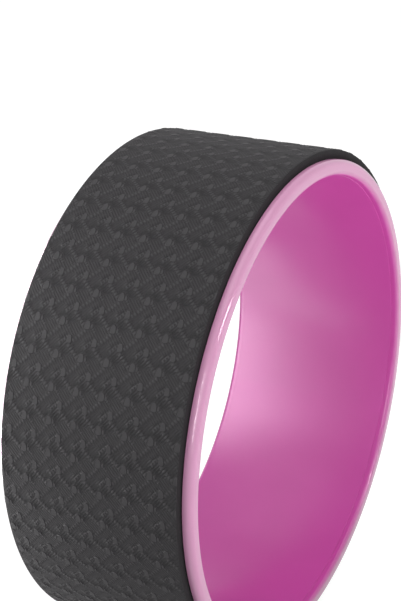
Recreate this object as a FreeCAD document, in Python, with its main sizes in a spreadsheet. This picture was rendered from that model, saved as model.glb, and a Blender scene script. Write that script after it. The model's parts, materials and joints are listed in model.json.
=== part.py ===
"""Yoga wheel: a moulded plastic hoop with raised round lips, and a foam tread strip bonded between them.

The wheel's axis is Y, its centre is the origin and +Z is up, so it stands on its tread.
Each piece starts as half of its section, drawn with X as the radius and Y along the axis.
The half section is turned about the axis and then mirrored across the wheel's middle.
"""

import FreeCAD, Part
import math
import os

import Sketcher

# Driving dimensions in millimetres and degrees
SIZES = {
    "rim_diameter": 315.5,  # outside of the bare hoop, where the tread is bonded
    "rim_width": 130.0,  # over both end faces
    "rim_wall": 8.75,  # hoop thickness beside the lips, under the tread
    "lip_width": 6.4,  # of the raised lip at each end
    "lip_height": 1.25,  # how far the lip stands up from the bare hoop
    "lip_outer_round": 3.8,  # rounding from the lip's crest to the end face
    "lip_inner_round": 3.1,  # rounding from the end face to the inside
    "lip_back_round": 1.0,  # rounding from the lip's crest towards the tread
    "lip_flat_least": 0.5,  # flat that is always left between two roundings
    "lip_land_width": 2.2,  # plain band inside the lip, before the wall steps in
    "wall_step_depth": 0.4,  # how far the inner wall stands in from that band
    "wall_step_round": 0.2,  # rounding on the edge of that step
    "tread_clearance": 0.1,  # between the foam strip's sides and the lips
    "tread_thickness": 7.0,
    "tread_edge_round": 0.4,  # on the cut edges between the tread and its sides
    "adhesive_thickness": 0.25,  # bonding film between the hoop and the foam
    "adhesive_margin": 1.5,  # how far the film stops short of the foam's sides
    "seam_gap": 0.5,  # left where the two ends of the strip meet
    "seam_angle": 35.0,  # of the seam below the +X side
}

# A rounding takes at most this share of the step or the strip that it is cut on
MOST_OF_STEP = 0.8
MOST_OF_STRIP = 0.8

# Expressions for the radii, and for what the roundings and the strip's ends leave room for
RIM_RADIUS = "Sizes.rim_diameter / 2"
FILM_RADIUS = f"({RIM_RADIUS} + Sizes.adhesive_thickness)"
TREAD_RADIUS = f"({FILM_RADIUS} + Sizes.tread_thickness)"
TREAD_SIDE = "(Sizes.rim_width / 2 - Sizes.lip_width - Sizes.tread_clearance)"
BACK_ROUND = f"min(Sizes.lip_back_round; {MOST_OF_STEP} * Sizes.lip_height)"
FACE_ROOM = "(Sizes.rim_wall + Sizes.lip_height - Sizes.lip_flat_least)"
CREST_ROOM = f"(Sizes.lip_width - Sizes.lip_flat_least - {BACK_ROUND})"
FACE_FIT = f"{FACE_ROOM} / (Sizes.lip_outer_round + Sizes.lip_inner_round)"
ROUNDS_FIT = f"min(1; {FACE_FIT}; {CREST_ROOM} / Sizes.lip_outer_round)"
STEP_ROUND = f"min(Sizes.wall_step_round; {MOST_OF_STEP} * Sizes.wall_step_depth)"
EDGE_ROUND = f"min(Sizes.tread_edge_round; {MOST_OF_STRIP} * Sizes.tread_thickness)"
STRIP_TURN = f"360 - Sizes.seam_gap / {TREAD_RADIUS} * 180 / pi"

# Sketch point numbers, and the sketch's level axis, which starts at the origin
START, END = 1, 2
LEVEL_AXIS = -1


def line(start, end):
    return Part.LineSegment(FreeCAD.Vector(*start), FreeCAD.Vector(*end))


def quarter(centre, radius, first_quarter):
    """A quarter circle, anticlockwise from the given multiple of 90 degrees."""
    circle = Part.Circle(FreeCAD.Vector(*centre), FreeCAD.Vector(0, 0, 1), radius)
    first = first_quarter * math.pi / 2
    return Part.ArcOfCircle(circle, first, first + math.pi / 2)


def origin_plane(body, role):
    return next(plane for plane in body.Origin.OriginFeatures if plane.Role == role)


def draw_half_section(body, pieces):
    """A closed outline from the named pieces in turn, and the number of each piece.

    The first piece starts on the wheel's middle. Lines stay level or upright, and run smoothly
    into the roundings.
    """
    sketch = body.newObject("Sketcher::SketchObject", f"{body.Name}_section")
    sketch.AttachmentSupport = [(origin_plane(body, "XY_Plane"), "")]
    sketch.MapMode = "FlatFace"
    outline = list(pieces.values())
    sketch.addGeometry(outline, False)
    rounded = [isinstance(piece, Part.ArcOfCircle) for piece in outline]
    for i, piece in enumerate(outline):
        after = (i + 1) % len(outline)
        joint = "Tangent" if rounded[i] or rounded[after] else "Coincident"
        sketch.addConstraint(Sketcher.Constraint(joint, i, END, after, START))
        if not rounded[i]:
            run = piece.EndPoint - piece.StartPoint
            way = "Horizontal" if abs(run.x) > abs(run.y) else "Vertical"
            sketch.addConstraint(Sketcher.Constraint(way, i))
    sketch.addConstraint(Sketcher.Constraint("PointOnObject", 0, START, LEVEL_AXIS))
    return sketch, {name: i for i, name in enumerate(pieces)}


def bind(sketch, name, expression, kind, *where_and_value):
    """One named dimension of a sketch, drawn at its value and tied to the sheet."""
    index = sketch.addConstraint(Sketcher.Constraint(kind, *where_and_value))
    sketch.renameConstraint(index, name)
    sketch.setExpression(f"Constraints.{name}", expression)


def turn_and_mirror(body, sketch, angle):
    """The half section turned about the wheel's axis, then doubled across its middle."""
    half = body.newObject("PartDesign::Revolution", f"{body.Name}_half")
    half.Profile = sketch
    half.ReferenceAxis = (sketch, ["V_Axis"])
    half.setExpression("Angle", angle)
    whole = body.newObject("PartDesign::Mirrored", f"{body.Name}_whole")
    whole.Originals = [half]
    whole.MirrorPlane = (origin_plane(body, "XZ_Plane"), [""])
    whole.Refine = True
    body.Tip = whole


def turn_to_seam(body):
    """Turns a piece about the wheel's axis, so that all of them start and end at the seam."""
    seam_turn = FreeCAD.Rotation(FreeCAD.Vector(0, 1, 0), SIZES["seam_angle"])
    body.Placement = FreeCAD.Placement(FreeCAD.Vector(0, 0, 0), seam_turn)
    body.setExpression("Placement.Rotation.Angle", "Sizes.seam_angle")


def make_rim_hoop(doc):
    """The hoop: a raised bullnosed lip at each end, and an inner wall that steps in behind each lip."""
    outside = SIZES["rim_diameter"] / 2
    end = SIZES["rim_width"] / 2
    thickness = SIZES["rim_wall"]
    lip_width = SIZES["lip_width"]
    lip_height = SIZES["lip_height"]
    back_round = SIZES["lip_back_round"]
    outer_round = SIZES["lip_outer_round"]
    inner_round = SIZES["lip_inner_round"]
    land_width = SIZES["lip_land_width"]
    step_depth = SIZES["wall_step_depth"]
    step_round = SIZES["wall_step_round"]
    crest = outside + lip_height
    back = end - lip_width
    land = outside - thickness
    wall = land - step_depth
    step = end - inner_round - land_width

    body = doc.addObject("PartDesign::Body", "rim_hoop")
    sketch, at = draw_half_section(
        body,
        {
            "outside": line((outside, 0), (outside, back)),
            "back": line((outside, back), (crest - back_round, back)),
            "back_round": quarter((crest - back_round, back + back_round), back_round, 3),
            "crest": line((crest, back + back_round), (crest, end - outer_round)),
            "outer_round": quarter((crest - outer_round, end - outer_round), outer_round, 0),
            "end": line((crest - outer_round, end), (land + inner_round, end)),
            "inner_round": quarter((land + inner_round, end - inner_round), inner_round, 1),
            "land": line((land, end - inner_round), (land, step)),
            "step": line((land, step), (wall + step_round, step)),
            "step_round": quarter((wall + step_round, step - step_round), step_round, 1),
            "wall": line((wall, step - step_round), (wall, 0)),
            "middle": line((wall, 0), (outside, 0)),
        },
    )
    outer_fit = f"Sizes.lip_outer_round * {ROUNDS_FIT}"
    inner_fit = f"Sizes.lip_inner_round * {ROUNDS_FIT}"
    to_outside = ("DistanceX", LEVEL_AXIS, START, at["outside"], START, outside)
    to_end = ("DistanceY", LEVEL_AXIS, START, at["end"], START, end)
    across_lip = ("DistanceY", at["outside"], END, at["end"], START, lip_width)
    up_lip = ("DistanceX", at["outside"], END, at["crest"], START, lip_height)
    through_wall = ("DistanceX", at["land"], START, at["outside"], START, thickness)
    along_land = ("DistanceY", at["land"], END, at["land"], START, land_width)
    across_step = ("DistanceX", at["wall"], START, at["land"], START, step_depth)
    bind(sketch, "rim_radius", RIM_RADIUS, *to_outside)
    bind(sketch, "half_width", "Sizes.rim_width / 2", *to_end)
    bind(sketch, "lip_width", "Sizes.lip_width", *across_lip)
    bind(sketch, "lip_height", "Sizes.lip_height", *up_lip)
    bind(sketch, "wall_thickness", "Sizes.rim_wall", *through_wall)
    bind(sketch, "back_radius", BACK_ROUND, "Radius", at["back_round"], back_round)
    bind(sketch, "outer_radius", outer_fit, "Radius", at["outer_round"], outer_round)
    bind(sketch, "inner_radius", inner_fit, "Radius", at["inner_round"], inner_round)
    bind(sketch, "land_width", "Sizes.lip_land_width", *along_land)
    bind(sketch, "step_depth", "Sizes.wall_step_depth", *across_step)
    bind(sketch, "step_radius", STEP_ROUND, "Radius", at["step_round"], step_round)
    turn_and_mirror(body, sketch, "360")
    turn_to_seam(body)
    return body


def tread_side():
    """Half the width of the foam strip, which fills the room between the lips."""
    return SIZES["rim_width"] / 2 - SIZES["lip_width"] - SIZES["tread_clearance"]


def make_adhesive_film(doc):
    """The bonding film, which stops short of the foam's sides so that none of it shows."""
    inside = SIZES["rim_diameter"] / 2
    thickness = SIZES["adhesive_thickness"]
    outside = inside + thickness
    side = tread_side() - SIZES["adhesive_margin"]

    body = doc.addObject("PartDesign::Body", "adhesive_film")
    sketch, at = draw_half_section(
        body,
        {
            "outside": line((outside, 0), (outside, side)),
            "side": line((outside, side), (inside, side)),
            "inside": line((inside, side), (inside, 0)),
            "middle": line((inside, 0), (outside, 0)),
        },
    )
    half_width = f"{TREAD_SIDE} - Sizes.adhesive_margin"
    to_inside = ("DistanceX", LEVEL_AXIS, START, at["inside"], END, inside)
    through_film = ("DistanceX", at["inside"], END, at["outside"], START, thickness)
    to_side = ("DistanceY", LEVEL_AXIS, START, at["side"], START, side)
    bind(sketch, "rim_radius", RIM_RADIUS, *to_inside)
    bind(sketch, "film_thickness", "Sizes.adhesive_thickness", *through_film)
    bind(sketch, "half_width", half_width, *to_side)
    turn_and_mirror(body, sketch, STRIP_TURN)
    turn_to_seam(body)
    return body


def make_tread_strip(doc):
    """The foam strip: one length wrapped round the hoop, its ends meeting at a straight seam."""
    inside = SIZES["rim_diameter"] / 2 + SIZES["adhesive_thickness"]
    thickness = SIZES["tread_thickness"]
    outside = inside + thickness
    side = tread_side()
    edge_round = SIZES["tread_edge_round"]

    body = doc.addObject("PartDesign::Body", "tread_strip")
    sketch, at = draw_half_section(
        body,
        {
            "outside": line((outside, 0), (outside, side - edge_round)),
            "edge_round": quarter((outside - edge_round, side - edge_round), edge_round, 0),
            "side": line((outside - edge_round, side), (inside, side)),
            "inside": line((inside, side), (inside, 0)),
            "middle": line((inside, 0), (outside, 0)),
        },
    )
    to_inside = ("DistanceX", LEVEL_AXIS, START, at["inside"], END, inside)
    through_foam = ("DistanceX", at["inside"], END, at["outside"], START, thickness)
    to_side = ("DistanceY", LEVEL_AXIS, START, at["side"], START, side)
    bind(sketch, "film_radius", FILM_RADIUS, *to_inside)
    bind(sketch, "foam_thickness", "Sizes.tread_thickness", *through_foam)
    bind(sketch, "half_width", TREAD_SIDE, *to_side)
    bind(sketch, "edge_radius", EDGE_ROUND, "Radius", at["edge_round"], edge_round)
    turn_and_mirror(body, sketch, STRIP_TURN)
    turn_to_seam(body)
    return body


def make_sheet(doc):
    """The spreadsheet that holds the driving dimensions, one alias to a row."""
    sheet = doc.addObject("Spreadsheet::Sheet", "Sizes")
    for row, (alias, value) in enumerate(SIZES.items(), start=1):
        sheet.set(f"A{row}", alias)
        sheet.set(f"B{row}", str(value))
        sheet.setAlias(f"B{row}", alias)
    doc.recompute()


def check(doc, bodies):
    """Stops if anything failed to compute, a section is loose or a piece is no valid solid."""
    for obj in doc.Objects:
        if {"Invalid", "Error"} & set(obj.State):
            raise RuntimeError(f"{obj.Label} did not compute: {obj.State}")
        if obj.TypeId == "Sketcher::SketchObject" and not obj.FullyConstrained:
            raise RuntimeError(f"{obj.Label} is not fully constrained")
    for body in bodies:
        if body.Shape.isNull() or not body.Shape.isValid():
            raise RuntimeError(f"{body.Label} has no valid shape")


def main():
    doc = FreeCAD.newDocument("yoga_wheel")
    make_sheet(doc)
    bodies = [make_rim_hoop(doc), make_adhesive_film(doc), make_tread_strip(doc)]
    doc.recompute()
    check(doc, bodies)
    os.makedirs("parts", exist_ok=True)
    for body in bodies:
        body.Shape.exportStep(f"parts/{body.Label}.step")
        print(f"{body.Label}: {body.Shape.Volume / 1000:.1f} cm3")


main()
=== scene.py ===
"""Dresses the yoga wheel: a glossy pink hoop, wrapped in an embossed grey foam tread.

The wheel's axis is Y, its centre is the origin and +Z is up. Sizes are millimetres here, and become
metres where an object is made. The strip is laid out flat first: its width runs along the axis, and
its length is measured round the tread from the seam, upwards on the +X side.
"""

import json
import math

import bpy
from mathutils import Matrix, Vector
from mathutils.geometry import delaunay_2d_cdt


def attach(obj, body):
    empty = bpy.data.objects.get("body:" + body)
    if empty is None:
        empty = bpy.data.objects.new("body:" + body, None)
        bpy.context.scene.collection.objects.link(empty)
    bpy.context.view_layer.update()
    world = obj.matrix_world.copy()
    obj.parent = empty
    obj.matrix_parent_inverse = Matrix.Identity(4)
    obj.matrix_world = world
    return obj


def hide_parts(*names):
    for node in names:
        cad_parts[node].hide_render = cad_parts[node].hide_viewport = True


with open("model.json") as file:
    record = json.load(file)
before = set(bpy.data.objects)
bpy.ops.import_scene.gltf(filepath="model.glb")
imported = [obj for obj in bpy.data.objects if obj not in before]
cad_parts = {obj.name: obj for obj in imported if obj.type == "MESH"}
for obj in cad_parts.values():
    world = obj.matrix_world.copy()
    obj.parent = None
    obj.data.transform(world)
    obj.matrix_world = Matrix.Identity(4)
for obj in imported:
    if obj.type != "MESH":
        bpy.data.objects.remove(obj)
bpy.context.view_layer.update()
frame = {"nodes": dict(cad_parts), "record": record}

MM = 0.001
NEAR = 1e-4  # two lengths of the flat strip that differ by less are the same
JOINED = NEAR / 10  # points this close become one in a triangulation
INSIDE = 1  # asks the triangulation for what lies inside its outlines


def reach(node):
    """Largest radius and largest half width of a CAD node."""
    corners = [vertex.co / MM for vertex in frame["nodes"][node].data.vertices]
    return max(math.hypot(c.x, c.z) for c in corners), max(c.y for c in corners)


def mount_sizes(name):
    return next(m["dims"] for m in frame["record"]["mounts"] if m["name"] == name)


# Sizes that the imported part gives
HOOP_RADIUS, HOOP_HALF_WIDTH = reach("rim_hoop")
FILM_RADIUS, _ = reach("adhesive_film")
TREAD_RADIUS, TREAD_HALF_WIDTH = reach("tread_strip")
WALL_RADIUS = mount_sizes("bore")["r_mm"]

# The hoop's section over and behind each lip, whose crest is the hoop's largest radius
WALL_THICKNESS = 8.75  # between the lips, down to the land
LIP_WIDTH = 6.4
LIP_HEIGHT = 1.25  # above the hoop's outside between the lips
LIP_BACK_ROUND = 1.0
LIP_OUTER_ROUND = 3.8
LIP_INNER_ROUND = 3.1
LAND_WIDTH = 2.2
STEP_ROUND = 0.2
LAND_RADIUS = HOOP_RADIUS - LIP_HEIGHT - WALL_THICKNESS
SUPPORT = 0.4  # a flat is cut this close to a rounding, which keeps its shading flat
LIP_STEPS = 10
BACK_STEPS = 5
STEP_STEPS = 3
HOOP_TURNS = 360
SHARP_ANGLE = math.radians(50)

# The strip's seam and edges
SEAM_GAP = 0.5
SEAM_ANGLE = math.radians(-35)  # where the gap starts, upwards from the +X side
SEAM_CENTRE = SEAM_ANGLE + SEAM_GAP / 2 / TREAD_RADIUS
EDGE_ROUND = 0.4
END_ROUND = 0.4
EDGE_STEPS = 4
BORDER_STEP = 3.0  # between points on the strip's border

# The embossed pattern: zigzag strings of stitches with a knot at each turn, on a skewed lattice.
# Places in it are (along the axis, round the tread).
STRING_PITCH = Vector((16.75, 0.5))  # from string to string
ZIGZAG_PITCH = Vector((-1.08, 19.05))  # from one zigzag of a string to the next
FIRST_KNOT_Y = -43.5  # the right-hand knot that the lattice starts from
FIRST_KNOT_ANGLE = math.radians(143.0)
TURN = Vector((-10.45, 9.25))  # from the right-hand knot of a zigzag to its left-hand knot
RELIEF = 0.3  # height of a knot over the ground
KNOT_POINTS = 12
KNOT_TOP_SHARE = 0.88  # size of a knot's top against its foot
KNOT_SHOULDER = 0.96  # height of the top's rim against its middle

# Knots: half length, half width, taper and squareness, where 2 is an oval
RIGHT_KNOT = (2.55, 1.7, 0.25, 3.4)
LEFT_KNOT = (2.75, 1.95, 0.25, 2.6)
WING = (1.5, 0.8, 0.25, 2.4)  # a small knot beside the left-hand one
WING_PLACE = Vector((-2.9, 0.3))  # from the left-hand knot

# Stitches of the strings and of the short spurs beside the knots
STITCH_POINTS = 8
STITCH_RIDGE_SHARE = 0.55  # length of a stitch's ridge against its foot
STRING_STITCH = (1.35, 1.0)  # half length and half width
SPUR_STITCH = (1.15, 0.72)
STITCHES = 5  # from knot to knot
LEFTWARD_FIRST = Vector((-0.85, 3.75))  # first stitch of the way left, from the right-hand knot
LEFTWARD_LAST = Vector((2.9, 0.0))  # and its last, from the left-hand knot
RIGHTWARD_FIRST = Vector((0.6, 3.8))
RIGHTWARD_LAST = Vector((-2.8, 0.25))
RIGHT_SPUR = Vector((2.65, 0.5))  # first stitch of the spur, from the right-hand knot
RIGHT_SPUR_STEP = Vector((1.35, 1.4))
RIGHT_SPUR_STITCHES = 3
LEFT_SPUR = Vector((-4.15, 1.75))
LEFT_SPUR_STEP = Vector((-1.4, 1.2))
LEFT_SPUR_STITCHES = 2
RIBS = 8  # of the hatch, from string to string and from zigzag to zigzag

# Ground beside a right-hand knot: places from the knot, with their height as a share of the relief
GROUND = [
    (Vector((1.9, -2.7)), -0.9),  # groove along the spur
    (Vector((3.5, -1.0)), -0.9),
    (Vector((5.2, 0.8)), -0.9),
    (Vector((6.6, 3.0)), -0.8),
    (Vector((1.4, 4.6)), -0.6),  # hollow under the spur
    (Vector((3.8, 5.6)), -0.9),
    (Vector((6.0, 5.3)), -0.9),
    (Vector((2.0, 8.4)), -0.8),  # either side of the left-hand knot's top
    (Vector((8.4, 7.0)), -0.9),
    (Vector((13.2, 3.4)), -0.8),  # inside the string's right-hand turn
    (Vector((10.2, 11.6)), -0.7),  # under the string
    (Vector((14.4, 8.6)), -0.7),
    (Vector((4.6, -3.0)), 0.3),  # the leaf's raised back
    (Vector((7.4, -1.0)), 0.25),
    (Vector((10.0, 1.6)), 0.1),
]

# The camera, fitted to the wheel's outlines in the photo, looks at a point beside the wheel's centre
CAMERA_AZIMUTH = math.radians(-62.2)
CAMERA_ELEVATION = math.radians(24.223)
CAMERA_DISTANCE = 926.5
CAMERA_LENS = 83.76
AIM_RIGHT = -14.95
AIM_UP = 57.41

# Colours, as linear light
PINK = (0.635, 0.092, 0.42, 1)
PINK_DEEP = (0.61, 0.085, 0.4, 1)
# Painted sheen: paler pink over the lips, for the white reflection they catch
PINK_PAINTED_SHEEN = (0.82, 0.38, 0.62, 1)
FOAM = (0.0375, 0.0349, 0.038, 1)
# Painted shade in the foam's hollows and grooves and on the leaf left of each string
FOAM_PAINTED_SHADE = (0.0105, 0.0098, 0.011, 1)
# Painted sheen on the knots and stitches, lighter colour for the gloss they catch
FOAM_PAINTED_SHEEN = (0.048, 0.045, 0.0485, 1)
FOAM_SIDE = (0.006, 0.0055, 0.0065, 1)
FOAM_SIDE_LIGHT = (0.010, 0.0095, 0.0105, 1)
FILM = (0.52, 0.48, 0.36, 1)
FILM_LIGHT = (0.62, 0.58, 0.46, 1)
FLOOR_GREY = (0.25, 0.25, 0.25, 1)
WHITE = (1, 1, 1, 1)

# Surfaces. Noise scales are per metre, and the depths of bumps are in metres.
PLASTIC_IOR = 1.55
PLASTIC_SPECULAR = 0.4
WALL_ROUGHNESS = 0.26
LIP_ROUGHNESS = 0.08
FLOW_SCALE = 14
FOAM_IOR = 1.45
FOAM_SPECULAR = 0.3
FOAM_ROUGHNESS = 0.75
KNOT_ROUGHNESS = 0.65
GRAIN_SCALE = 1400
GRAIN_DETAIL = 2
LEAF_SHADE = 0.3  # painted shade on the smooth skin left of a string
BAND_SHADE = 0.35  # painted shade on the band along each way left
RIB_HEIGHT = 0.5  # shares of the skin's bump
GRAIN_HEIGHT = 0.6
SKIN_STRENGTH = 0.6
SKIN_DEPTH = 0.0002
SIDE_IOR = 1.4
CELL_SCALE = 1500
CELL_STRENGTH = 0.5
CELL_DEPTH = 0.0002
CLOUD_SCALE = 120
STREAK_SCALE = 60
STREAK_STRENGTH = 0.3
STREAK_DEPTH = 0.0003

# The studio, in metres
CENTRE = (0, 0, 0)
FLOOR_HALF = 8.0
FLOOR_LIFT = 0.93  # what the camera sees of the floor gets this much light of its own
SKY_LIGHT = 0.39  # strength of the white sky as light on the wheel
SKY_SEEN = 1


# Meshes


def new_piece(name, points, faces):
    """A smooth-shaded object of the part, from points in millimetres."""
    mesh = bpy.data.meshes.new(name)
    mesh.from_pydata([Vector(p) * MM for p in points], [], faces)
    mesh.shade_smooth()
    piece = bpy.data.objects.new(name, mesh)
    bpy.context.scene.collection.objects.link(piece)
    return piece


def quarter(centre, radius, first, steps):
    """A quarter circle of section points (radius, y), from the given angle, both ends included."""
    angles = [first + math.pi / 2 * i / steps for i in range(steps + 1)]
    return [(centre[0] + radius * math.cos(a), centre[1] + radius * math.sin(a)) for a in angles]


def hoop_section():
    """The hoop's closed section: over the +Y lip, along the wall and back over the -Y lip."""
    end = HOOP_HALF_WIDTH
    back = end - LIP_WIDTH
    step = end - LIP_INNER_ROUND - LAND_WIDTH
    back_centre = (HOOP_RADIUS - LIP_BACK_ROUND, back + LIP_BACK_ROUND)
    outer_centre = (HOOP_RADIUS - LIP_OUTER_ROUND, end - LIP_OUTER_ROUND)
    inner_centre = (LAND_RADIUS + LIP_INNER_ROUND, end - LIP_INNER_ROUND)
    step_centre = (WALL_RADIUS + STEP_ROUND, step - STEP_ROUND)
    half = [
        (HOOP_RADIUS - LIP_HEIGHT, back),
        *quarter(back_centre, LIP_BACK_ROUND, -math.pi / 2, BACK_STEPS),
        *quarter(outer_centre, LIP_OUTER_ROUND, 0, LIP_STEPS),
        *quarter(inner_centre, LIP_INNER_ROUND, math.pi / 2, LIP_STEPS),
        (LAND_RADIUS, step),
        *quarter(step_centre, STEP_ROUND, math.pi / 2, STEP_STEPS),
        (WALL_RADIUS, step - STEP_ROUND - SUPPORT),
    ]
    return half + [(radius, -y) for radius, y in reversed(half)]


def lip_share(radius):
    """1 on a lip's outside and face, falling to 0 over its inner rounding."""
    return min(max((radius - LAND_RADIUS) / LIP_INNER_ROUND, 0.0), 1.0)


def make_hoop():
    section = hoop_section()
    count = len(section)
    points = []
    faces = []
    for turn in range(HOOP_TURNS):
        angle = 2 * math.pi * turn / HOOP_TURNS
        points += [(r * math.cos(angle), y, r * math.sin(angle)) for r, y in section]
        here = turn * count
        there = (turn + 1) % HOOP_TURNS * count
        for i in range(count):
            after = (i + 1) % count
            faces.append((here + i, here + after, there + after, there + i))
    hoop = new_piece("hoop", points, faces)
    hoop.data.set_sharp_from_angle(angle=SHARP_ANGLE)
    lip = hoop.data.attributes.new("lip", "FLOAT", "POINT")
    lip.data.foreach_set("value", [lip_share(r) for r, _ in section] * HOOP_TURNS)
    return hoop


def oval(centre, along, half_length, half_width, taper, power, count):
    """Points round an oval, which lies along the given direction and widens that way by its taper."""
    along = along.normalized()
    across = Vector((along.y, -along.x))
    points = []
    for i in range(count):
        angle = 2 * math.pi * (i + 0.5) / count
        sideways = math.copysign(abs(math.cos(angle)) ** (2 / power), math.cos(angle))
        lengthways = math.copysign(abs(math.sin(angle)) ** (2 / power), math.sin(angle))
        width = half_width * (1 + taper * lengthways)
        points.append(centre + across * (width * sideways) + along * (half_length * lengthways))
    return points


def cut_to_width(outline, half_width):
    """What a convex outline leaves inside the strip's width."""
    for side in (-1, 1):
        kept = []
        for i, point in enumerate(outline):
            before = outline[i - 1]
            inside = side * point.x <= half_width
            if inside != (side * before.x <= half_width):
                share = (side * half_width - before.x) / (point.x - before.x)
                kept.append(before.lerp(point, share))
            if inside:
                kept.append(point)
        outline = kept
    return outline


class FlatStrip:
    """The tread laid out flat: its points with their heights, and the lines between them."""

    def __init__(self, half_width, low, high):
        self.half_width = half_width
        self.low = low
        self.high = high
        self.points = []
        self.heights = []
        self.lines = []
        self.creases = []
        self.cut_ends = []

    def add(self, points, height):
        """Adds points at one height, and returns their numbers."""
        first = len(self.points)
        self.points += points
        self.heights += [height] * len(points)
        return list(range(first, len(self.points)))

    def holds(self, points):
        return all(abs(p.x) < self.half_width and self.low < p.y < self.high for p in points)

    def add_outline(self, outline, height):
        """Adds what the strip's width leaves of an outline, and returns its lines off the sides."""
        left = cut_to_width(outline, self.half_width)
        numbers = self.add(left, height)
        on_side = [abs(p.x) > self.half_width - NEAR for p in left]
        lines = []
        for i, number in enumerate(numbers):
            if not (on_side[i] and on_side[i - 1]):
                lines.append((numbers[i - 1], number))
        self.lines += lines
        self.cut_ends += [number for number, cut in zip(numbers, on_side) if cut]
        return lines

    def add_knot(self, centre, shape):
        """A knot has a foot, a smaller top and a raised middle."""
        foot = oval(centre, Vector((0, 1)), *shape, KNOT_POINTS)
        if any(not self.low < p.y < self.high for p in foot):
            return
        top = [centre.lerp(p, KNOT_TOP_SHARE) for p in foot]
        self.creases += self.add_outline(foot, 0)
        self.creases += self.add_outline(top, RELIEF * KNOT_SHOULDER)
        if self.holds([centre]):
            self.add([centre], RELIEF)

    def add_stitch(self, centre, string_way, half_length, half_width):
        """A stitch lies across its string, with a short ridge along its middle."""
        across = Vector((-string_way.y, string_way.x)).normalized()
        foot = oval(centre, across, half_length, half_width, 0, 2, STITCH_POINTS)
        if not self.holds(foot):
            return
        self.creases += self.add_outline(foot, 0)
        ridge = across * (half_length * STITCH_RIDGE_SHARE)
        self.lines.append(tuple(self.add([centre - ridge, centre + ridge], RELIEF)))

    def add_string(self, first, last):
        step = (last - first) / (STITCHES - 1)
        for i in range(STITCHES):
            self.add_stitch(first + step * i, step, *STRING_STITCH)

    def add_spur(self, first, step, count):
        for i in range(count):
            self.add_stitch(first + step * i, step, *SPUR_STITCH)

    def add_ground(self, place, height):
        if self.holds([place]):
            self.add([place], height)

    def side_numbers(self, side):
        """Points up one side: the ends of the cut knots, and even steps where there is none."""
        ends = [i for i in self.cut_ends if self.points[i].x * side > 0]
        taken = [self.points[i].y for i in ends]
        steps = round((self.high - self.low) / BORDER_STEP)
        places = [self.low + (self.high - self.low) * i / steps for i in range(steps + 1)]
        clear = [s for s in places if all(abs(s - t) > BORDER_STEP for t in taken)]
        numbers = ends + self.add([Vector((self.half_width * side, s)) for s in clear], 0)
        return sorted(numbers, key=lambda i: self.points[i].y)

    def end_numbers(self, place):
        """Points across one end, between its corners, from left to right."""
        steps = round(2 * self.half_width / BORDER_STEP)
        inner = [2 * self.half_width * i / steps - self.half_width for i in range(1, steps)]
        return self.add([Vector((y, place)) for y in inner], 0)

    def triangulate(self):
        """Points, heights, triangles, creases round what is raised, and the border anticlockwise."""
        border = self.end_numbers(self.low) + self.side_numbers(1)
        border += self.end_numbers(self.high)[::-1] + self.side_numbers(-1)[::-1]
        lines = self.lines + list(zip(border, border[1:] + border[:1]))
        cut = delaunay_2d_cdt(self.points, lines, [border], INSIDE, JOINED)
        points, _, triangles, sources = cut[:4]
        heights = [max((self.heights[i] for i in source), default=0.0) for source in sources]
        faces = [tuple(triangle) for triangle in triangles]
        number = {i: place for place, source in enumerate(sources) for i in source}
        creases = {frozenset((number[a], number[b])) for a, b in self.creases}
        return list(points), heights, faces, creases, [number[i] for i in border]

    def outward(self, point):
        """How far the rounding carries a point of the border out, to the sides and to the ends."""
        to_right = abs(point.x - self.half_width) < NEAR
        to_left = abs(point.x + self.half_width) < NEAR
        to_high = abs(point.y - self.high) < NEAR
        to_low = abs(point.y - self.low) < NEAR
        return Vector((EDGE_ROUND * (to_right - to_left), END_ROUND * (to_high - to_low)))


def first_knot():
    """Place on the flat strip of the right-hand knot that the lattice starts from."""
    return Vector((FIRST_KNOT_Y, (FIRST_KNOT_ANGLE - SEAM_CENTRE) * TREAD_RADIUS))


def emboss(strip):
    """Fills the strip with the lattice of knots, strings, spurs and uneven ground."""
    first = first_knot()
    first_row = math.floor((strip.low - first.y) / ZIGZAG_PITCH.y) - 1
    last_row = math.ceil((strip.high - first.y) / ZIGZAG_PITCH.y) + 1
    for row in range(first_row, last_row + 1):
        start = first + ZIGZAG_PITCH * row
        first_column = math.floor((-strip.half_width - start.x) / STRING_PITCH.x) - 1
        last_column = math.ceil((strip.half_width - start.x) / STRING_PITCH.x) + 1
        for column in range(first_column, last_column + 1):
            right_knot = start + STRING_PITCH * column
            left_knot = right_knot + TURN
            next_knot = right_knot + ZIGZAG_PITCH
            strip.add_knot(right_knot, RIGHT_KNOT)
            strip.add_knot(left_knot, LEFT_KNOT)
            strip.add_string(right_knot + LEFTWARD_FIRST, left_knot + LEFTWARD_LAST)
            strip.add_string(left_knot + RIGHTWARD_FIRST, next_knot + RIGHTWARD_LAST)
            strip.add_knot(left_knot + WING_PLACE, WING)
            strip.add_spur(right_knot + RIGHT_SPUR, RIGHT_SPUR_STEP, RIGHT_SPUR_STITCHES)
            strip.add_spur(left_knot + LEFT_SPUR, LEFT_SPUR_STEP, LEFT_SPUR_STITCHES)
            for place, share in GROUND:
                strip.add_ground(right_knot + place, RELIEF * share)


def wrap(point, radius):
    """A point of the flat strip, bent round the wheel at the given radius."""
    angle = SEAM_CENTRE + point.y / TREAD_RADIUS
    return (radius * math.cos(angle), point.x, radius * math.sin(angle))


def edge_rings(ground):
    """Rings of points that lead from the border of the tread, over its rounding, to the underside.

    Each is how far out it is, how much relief it keeps and how far below the ground it lies.
    """
    angles = [math.pi / 2 * (i + 1) / EDGE_STEPS for i in range(EDGE_STEPS)]
    rounding = [(math.sin(a), math.cos(a), EDGE_ROUND * (1 - math.cos(a))) for a in angles]
    return rounding + [(1, 0, EDGE_ROUND + SUPPORT), (1, 0, ground - FILM_RADIUS)]


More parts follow.
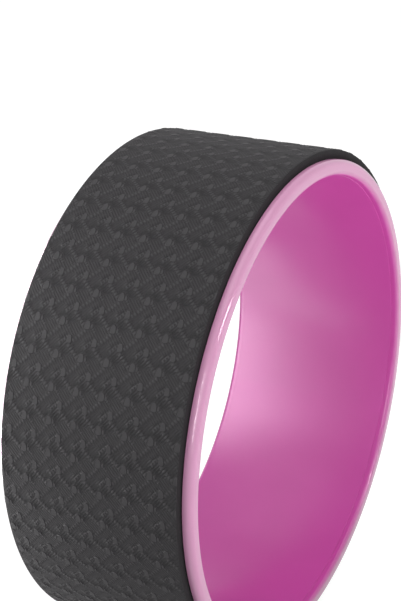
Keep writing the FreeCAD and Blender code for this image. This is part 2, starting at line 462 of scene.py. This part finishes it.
def underside(points, edge):
    """Triangles that close the strip below, inside the given edge."""
    corners = [points[i] for i in edge]
    whole = list(range(len(corners)))
    cut = delaunay_2d_cdt(corners, [], [whole], INSIDE, JOINED)
    triangles, sources = cut[2:4]
    number = [edge[source[0]] for source in sources]
    return [tuple(number[i] for i in reversed(triangle)) for triangle in triangles]


def make_tread():
    """The strip: its embossed tread, rounded edges, sides, butted ends and underside."""
    margin = SEAM_GAP / 2 + END_ROUND
    strip = FlatStrip(TREAD_HALF_WIDTH - EDGE_ROUND, margin, 2 * math.pi * TREAD_RADIUS - margin)
    emboss(strip)
    points, heights, faces, creases, border = strip.triangulate()
    ground = TREAD_RADIUS - RELIEF
    radii = [ground + height for height in heights]
    ways = [strip.outward(points[i]) for i in border]
    tread_faces = len(faces) + EDGE_STEPS * len(border)
    above = border
    for out, relief_kept, drop in edge_rings(ground):
        below = list(range(len(points), len(points) + len(border)))
        for number, way in zip(border, ways):
            points.append(points[number] + way * out)
            heights.append(heights[number] * relief_kept)
            radii.append(ground + heights[-1] - drop)
        faces += [(above[i], above[i - 1], below[i - 1], below[i]) for i in range(len(border))]
        above = below
    faces += underside(points, above)

    tread = new_piece("tread", [wrap(p, r) for p, r in zip(points, radii)], faces)
    mesh = tread.data
    mesh.edges.foreach_set("use_edge_sharp", [frozenset(e.vertices) in creases for e in mesh.edges])
    mesh.polygons.foreach_set("material_index", [i >= tread_faces for i in range(len(faces))])
    place = mesh.attributes.new("strip_place", "FLOAT_VECTOR", "POINT")
    place.data.foreach_set("vector", [v for p in points for v in (p.x, p.y, 0)])
    relief = mesh.attributes.new("relief", "FLOAT", "POINT")
    relief.data.foreach_set("value", [height / RELIEF for height in heights])
    return tread


# Materials


class Nodes:
    """Adds nodes to an emptied tree. A value that is a socket is linked, and any other is set."""

    def __init__(self, owner):
        owner.use_nodes = True
        self.tree = owner.node_tree
        self.tree.nodes.clear()

    def put(self, socket, value):
        if isinstance(value, bpy.types.NodeSocket):
            self.tree.links.new(value, socket)
        else:
            socket.default_value = value

    def add(self, kind, values=None, **settings):
        node = self.tree.nodes.new(kind)
        for name, setting in settings.items():
            setattr(node, name, setting)
        for name, value in (values or {}).items():
            self.put(node.inputs[name], value)
        return node

    def maths(self, operation, *values):
        node = self.add("ShaderNodeMath", operation=operation)
        for socket, value in zip(node.inputs, values):
            self.put(socket, value)
        return node.outputs[0]

    def product(self, first, second):
        return self.maths("MULTIPLY", first, second)

    def larger(self, first, second):
        return self.maths("MAXIMUM", first, second)

    def ramp(self, value, low, high, at_low, at_high):
        """Goes smoothly from at_low to at_high as the value goes from low to high."""
        ends = {
            "Value": value,
            "From Min": low,
            "From Max": high,
            "To Min": at_low,
            "To Max": at_high,
        }
        return self.add("ShaderNodeMapRange", ends, interpolation_type="SMOOTHSTEP").outputs[0]

    def cloudy(self, noise, at_low, at_high):
        """Goes from at_low to at_high over the middle of a noise's range."""
        return self.ramp(noise, 0.3, 0.7, at_low, at_high)

    def mix(self, share, first, second):
        node = self.add("ShaderNodeMix", data_type="RGBA")
        colours = [socket for socket in node.inputs if socket.type == "RGBA"]
        self.put(node.inputs["Factor"], share)
        self.put(colours[0], first)
        self.put(colours[1], second)
        return next(socket for socket in node.outputs if socket.type == "RGBA")

    def noise(self, place, scale, detail=3):
        values = {"Vector": place, "Scale": scale, "Detail": detail}
        return self.add("ShaderNodeTexNoise", values).outputs[0]

    def bump(self, height, strength, distance):
        values = {"Height": height, "Strength": strength, "Distance": distance}
        return self.add("ShaderNodeBump", values).outputs[0]

    def object_place(self):
        return self.add("ShaderNodeTexCoord").outputs["Object"]

    def attribute(self, name, output="Fac"):
        """A value that the mesh holds at its points."""
        return self.add("ShaderNodeAttribute", attribute_name=name).outputs[output]

    def finish(self, values):
        surface = self.add("ShaderNodeBsdfPrincipled", values)
        self.add("ShaderNodeOutputMaterial", {"Surface": surface.outputs[0]})


def plastic():
    """Moulded pink plastic, more polished over the lips, with faint flow marks. A painted sheen makes
    the lips paler pink.
    """
    material = bpy.data.materials.new("hoop_plastic")
    nodes = Nodes(material)
    flow = nodes.noise(nodes.object_place(), FLOW_SCALE)
    lip = nodes.attribute("lip")
    wall = nodes.mix(nodes.ramp(flow, 0.35, 0.65, 0, 1), PINK_DEEP, PINK)
    # The lips' paler pink is a painted sheen, for the white reflection on them
    nodes.finish(
        {
            "Base Color": nodes.mix(lip, wall, PINK_PAINTED_SHEEN),
            "Roughness": nodes.ramp(lip, 0, 1, WALL_ROUGHNESS, LIP_ROUGHNESS),
            "IOR": PLASTIC_IOR,
            "Specular IOR Level": PLASTIC_SPECULAR,
        }
    )
    return material


def zigzag(nodes):
    """Where a point of the tread lies in the pattern.

    Gives its place on the lattice, its distance right of the nearest string on its left as a share of
    the string pitch, whether the string goes left there, and how far it is from a right-hand turn to a
    left-hand one.
    """
    place = nodes.attribute("strip_place", "Vector")
    across, along, _ = nodes.add("ShaderNodeSeparateXYZ", {"Vector": place}).outputs
    to_cell = Matrix((STRING_PITCH, ZIGZAG_PITCH)).transposed().inverted()
    start = to_cell @ first_knot()
    turn = to_cell @ TURN
    cell = []
    for i in (0, 1):
        partly = nodes.maths("MULTIPLY_ADD", along, to_cell[i][1], -start[i])
        cell.append(nodes.maths("MULTIPLY_ADD", across, to_cell[i][0], partly))
    row_share = nodes.maths("FRACT", cell[1])
    going_left = nodes.maths("LESS_THAN", row_share, turn.y)
    rising = nodes.maths("DIVIDE", row_share, turn.y)
    falling = nodes.maths("DIVIDE", nodes.maths("SUBTRACT", 1.0, row_share), 1 - turn.y)
    wave = nodes.maths("MINIMUM", rising, falling)
    column = nodes.maths("MULTIPLY_ADD", wave, -turn.x, cell[0])
    return cell, nodes.maths("FRACT", column), going_left, wave


def hatch(nodes, cell, going_left):
    """Fine ribs about square to the string beside them."""
    columns, rows = [nodes.product(place, 2 * math.pi * RIBS) for place in cell]
    slant = nodes.maths("MULTIPLY_ADD", going_left, -2.0, 1.0)
    return nodes.maths("SINE", nodes.maths("MULTIPLY_ADD", columns, slant, rows))


def foam_tread():
    """The foam's moulded skin: hatched right of each string, smooth left, with painted shade and sheen.
    """
    material = bpy.data.materials.new("tread_foam")
    nodes = Nodes(material)
    cell, column, going_left, wave = zigzag(nodes)
    relief = nodes.attribute("relief")
    grain = nodes.noise(nodes.object_place(), GRAIN_SCALE, GRAIN_DETAIL)

    # Ribs weaken towards the next string, and end where a knot or a stitch rises
    weaker = nodes.ramp(column, 0.55, 0.85, 1, 0.3)
    between = nodes.ramp(relief, 0, 0.4, 1, 0)
    ribs = nodes.product(hatch(nodes, cell, going_left), nodes.product(weaker, between))

    # Painted shade: in hollows, on the leaf left of a string, along each way left and between ribs
    hollow = nodes.ramp(relief, -0.9, 0.0, 1, 0)
    leaf = nodes.product(nodes.ramp(column, 0.45, 0.7, 0, 1), nodes.ramp(wave, 0.1, 0.7, 1, 0))
    band_start = nodes.ramp(wave, 0.25, 0.5, 0, BAND_SHADE)
    band_end = nodes.ramp(wave, 0.8, 0.95, 1, 0)
    band = nodes.product(nodes.product(band_start, band_end), going_left)
    in_band = nodes.ramp(band, 0, BAND_SHADE, 0.7, 1)
    furrow = nodes.product(nodes.ramp(ribs, 0.6, -0.8, 0, 1), in_band)
    shade = nodes.larger(hollow, nodes.product(leaf, LEAF_SHADE))
    shade = nodes.larger(nodes.larger(shade, band), furrow)
    ground = nodes.mix(nodes.product(shade, nodes.cloudy(grain, 0.6, 1)), FOAM, FOAM_PAINTED_SHADE)

    # Knots and stitches get a painted sheen: lighter colour that stands in for the gloss on them
    raised = nodes.ramp(relief, 0.0, 0.7, 0, 1)
    skin = nodes.maths("MULTIPLY_ADD", ribs, RIB_HEIGHT, nodes.product(grain, GRAIN_HEIGHT))
    nodes.finish(
        {
            "Base Color": nodes.mix(raised, ground, FOAM_PAINTED_SHEEN),
            "Roughness": nodes.ramp(relief, 0.1, 0.9, FOAM_ROUGHNESS, KNOT_ROUGHNESS),
            "IOR": FOAM_IOR,
            "Specular IOR Level": FOAM_SPECULAR,
            "Normal": nodes.bump(skin, SKIN_STRENGTH, SKIN_DEPTH),
        }
    )
    return material


def foam_side():
    """The foam's cut sides, with its fine closed cells."""
    material = bpy.data.materials.new("tread_foam_side")
    nodes = Nodes(material)
    place = nodes.object_place()
    values = {"Vector": place, "Scale": CELL_SCALE}
    cells = nodes.add("ShaderNodeTexVoronoi", values).outputs["Distance"]
    cloud = nodes.noise(place, CLOUD_SCALE)
    nodes.finish(
        {
            "Base Color": nodes.mix(nodes.cloudy(cloud, 0, 1), FOAM_SIDE, FOAM_SIDE_LIGHT),
            "Roughness": nodes.cloudy(cloud, 0.8, 0.9),
            "IOR": SIDE_IOR,
            "Normal": nodes.bump(cells, CELL_STRENGTH, CELL_DEPTH),
        }
    )
    return material


def film():
    """Contact adhesive, a little uneven."""
    material = bpy.data.materials.new("bonding_film")
    nodes = Nodes(material)
    streak = nodes.noise(nodes.object_place(), STREAK_SCALE)
    nodes.finish(
        {
            "Base Color": nodes.mix(nodes.cloudy(streak, 0, 1), FILM, FILM_LIGHT),
            "Roughness": nodes.cloudy(streak, 0.45, 0.6),
            "Normal": nodes.bump(streak, STREAK_STRENGTH, STREAK_DEPTH),
        }
    )
    return material


# Floor, light and camera


def seen(nodes):
    """1 for what the camera sees, by itself or in gloss or glass, and 0 for light on the object."""
    path = nodes.add("ShaderNodeLightPath").outputs
    gloss = nodes.maths("ADD", path["Is Glossy Ray"], path["Is Transmission Ray"])
    return nodes.maths("MINIMUM", nodes.maths("ADD", path["Is Camera Ray"], gloss), 1.0)


def make_floor():
    """A floor under the tread. What the camera sees of it is lifted to white, with a faint shadow."""
    level = -TREAD_RADIUS * MM
    sides = ((-1, -1), (1, -1), (1, 1), (-1, 1))
    corners = [(x * FLOOR_HALF, y * FLOOR_HALF, level) for x, y in sides]
    mesh = bpy.data.meshes.new("floor")
    mesh.from_pydata(corners, [], [(0, 1, 2, 3)])
    floor = bpy.data.objects.new("floor", mesh)
    bpy.context.scene.collection.objects.link(floor)
    material = bpy.data.materials.new("floor_white")
    nodes = Nodes(material)
    plain = nodes.add("ShaderNodeBsdfDiffuse", {"Color": FLOOR_GREY})
    strength = nodes.product(seen(nodes), FLOOR_LIFT)
    lift = nodes.add("ShaderNodeEmission", {"Color": WHITE, "Strength": strength})
    both = nodes.add("ShaderNodeAddShader")
    nodes.put(both.inputs[0], plain.outputs[0])
    nodes.put(both.inputs[1], lift.outputs[0])
    nodes.add("ShaderNodeOutputMaterial", {"Surface": both.outputs[0]})
    mesh.materials.append(material)


def make_world():
    """A white sky, which lights the wheel less than it shows."""
    world = bpy.data.worlds.new("studio")
    bpy.context.scene.world = world
    nodes = Nodes(world)
    strength = nodes.ramp(seen(nodes), 0, 1, SKY_LIGHT, SKY_SEEN)
    light = nodes.add("ShaderNodeBackground", {"Color": WHITE, "Strength": strength})
    nodes.add("ShaderNodeOutputWorld", {"Surface": light.outputs[0]})


def make_lamp(name, place, aim, width, height, power, lights=True, shines=True):
    """A soft box that faces the aim. It lights surfaces, shines in their gloss, or does both."""
    light = bpy.data.lights.new(name, "AREA")
    light.shape = "RECTANGLE"
    light.size = width
    light.size_y = height
    light.energy = power
    lamp = bpy.data.objects.new(name, light)
    lamp.location = place
    lamp.rotation_euler = (Vector(aim) - Vector(place)).to_track_quat("-Z", "Y").to_euler()
    lamp.visible_camera = False
    lamp.visible_diffuse = lights
    lamp.visible_glossy = shines
    bpy.context.scene.collection.objects.link(lamp)


def make_lamps():
    """Large soft boxes that light the wheel, and small ones that draw its highlights."""
    make_lamp("key", (-1.2, -1.0, 1.1), CENTRE, width=2.2, height=2.2, power=4.8)
    make_lamp("top", (-0.2, 0, 1.6), CENTRE, width=1.6, height=1.6, power=9)
    make_lamp("left strip", (-1.05, -0.68, 0.27), CENTRE, width=0.12, height=0.7, power=1.6)
    make_lamp("front strip", (-0.02, -1.08, 0.36), CENTRE, width=0.3, height=0.14, power=4, lights=False)
    make_lamp("side strip", (-1.16, -0.25, 0.36), CENTRE, width=0.07, height=0.6, power=5, lights=False)
    make_lamp("back", (0.4, 1.3, 0.5), CENTRE, width=1.2, height=1.2, power=4.5)

    # Behind the wheel, for the sheen on its inner wall
    rear = (-0.1475, 0.22, 0.04)
    before_rear = (-0.1475, 0, 0.04)
    make_lamp("rear", rear, before_rear, width=0.215, height=0.31, power=2.4, lights=False)

    # Just above the floor, facing up, behind the wheel and in front of it
    rear_floor = (-0.12, 0.22, -0.163)
    above_rear_floor = (-0.12, 0.22, 0)
    low = (0, -0.45, -0.163)
    above_low = (0, -0.45, 0)
    make_lamp("rear floor", rear_floor, above_rear_floor, width=0.3, height=0.16, power=0.65)
    make_lamp("low", low, above_low, width=0.6, height=0.3, power=2.5, shines=False)


def make_camera():
    a, e = CAMERA_AZIMUTH, CAMERA_ELEVATION
    back = Vector((math.sin(a) * math.cos(e), -math.cos(a) * math.cos(e), math.sin(e)))
    right = Vector((math.cos(a), math.sin(a), 0))
    up = back.cross(right)
    place = back * (CAMERA_DISTANCE * MM)
    aim = (right * AIM_RIGHT + up * AIM_UP) * MM
    data = bpy.data.cameras.new("camera")
    data.lens = CAMERA_LENS
    camera = bpy.data.objects.new("camera", data)
    camera.location = place
    camera.rotation_euler = (aim - place).to_track_quat("-Z", "Y").to_euler()
    bpy.context.scene.collection.objects.link(camera)
    bpy.context.scene.camera = camera


# The pieces of the part


def dress_hoop():
    hoop = make_hoop()
    hoop.data.materials.append(plastic())
    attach(hoop, "root")
    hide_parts("rim_hoop")


def dress_tread():
    tread = make_tread()
    tread.data.materials.append(foam_tread())
    tread.data.materials.append(foam_side())
    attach(tread, "root")
    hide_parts("tread_strip")


def dress_film():
    """The film's own solid is right as it is, and only gets its material."""
    node = frame["nodes"]["adhesive_film"]
    node.data.materials.clear()
    node.data.materials.append(film())


dress_hoop()
dress_tread()
dress_film()
make_floor()
make_world()
make_lamps()
make_camera()
bpy.context.scene.view_settings.view_transform = "Standard"
